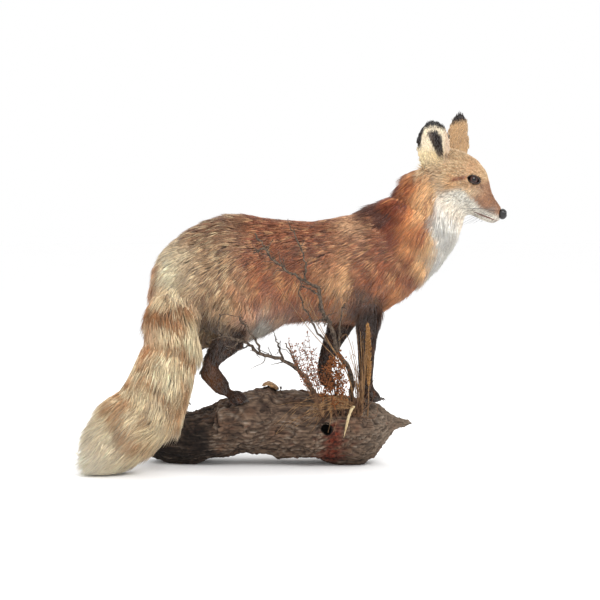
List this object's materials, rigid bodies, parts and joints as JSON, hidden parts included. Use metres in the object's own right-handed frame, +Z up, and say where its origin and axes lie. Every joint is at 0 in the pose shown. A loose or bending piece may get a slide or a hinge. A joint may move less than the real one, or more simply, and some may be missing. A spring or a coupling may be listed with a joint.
{
  "type": "taxidermy fox on driftwood",
  "caption": "Standing red fox mount, head turned slightly to its right, brush tail resting on the floor, on a driftwood log with dry branches and grasses.",
  "frame": {"origin": "middle of the part's box, on the floor", "axes": "+X the way the fox faces, +Y its left side, +Z up"},
  "size_m": [0.819, 0.2862, 0.7024],
  "materials": {
    "coat_orange": "long soft guard hair, matt with a slight sheen",
    "coat_back": "grizzled reddish-brown guard hair",
    "coat_tail": "full loose brush, cream with orange-brown bands",
    "coat_dark": "short dark brown stocking hair",
    "eye_glass": "polished glass eye, dark amber-brown",
    "nose_skin": "pebbled nose skin with a wet-look lacquer",
    "driftwood": "weathered, fibrous and cracked",
    "dry_twig": "dry bark, matt",
    "straw": "dry stems, matt",
    "seed_rust": "dry papery seed heads"
  },
  "bodies": {
    "root": {"head": "coat_orange", "neck": "coat_orange", "trunk": "coat_back", "tail_base": "coat_tail", "tail_middle": "coat_tail", "tail_tip": "coat_tail", "ear_right": "coat_dark", "ear_left": "coat_dark", "eye_right": "eye_glass", "eye_left": "eye_glass", "nose": "nose_skin", "foreleg_right": "coat_dark", "foreleg_left": "coat_dark", "forepaw_right": "coat_dark", "forepaw_left": "coat_dark", "hindleg_right": "coat_dark", "hindleg_left": "coat_dark", "hindfoot_right": "coat_dark", "hindfoot_left": "coat_dark", "driftwood_log": "driftwood", "bark_chip": "driftwood", "branch_left": "dry_twig", "branch_main": "dry_twig", "dry_grass": "straw", "seed_sprays": "seed_rust", "rusty_flowers": "seed_rust", "split_reed": "straw", "seed_spike": "straw"}
  },
  "joints": []
}
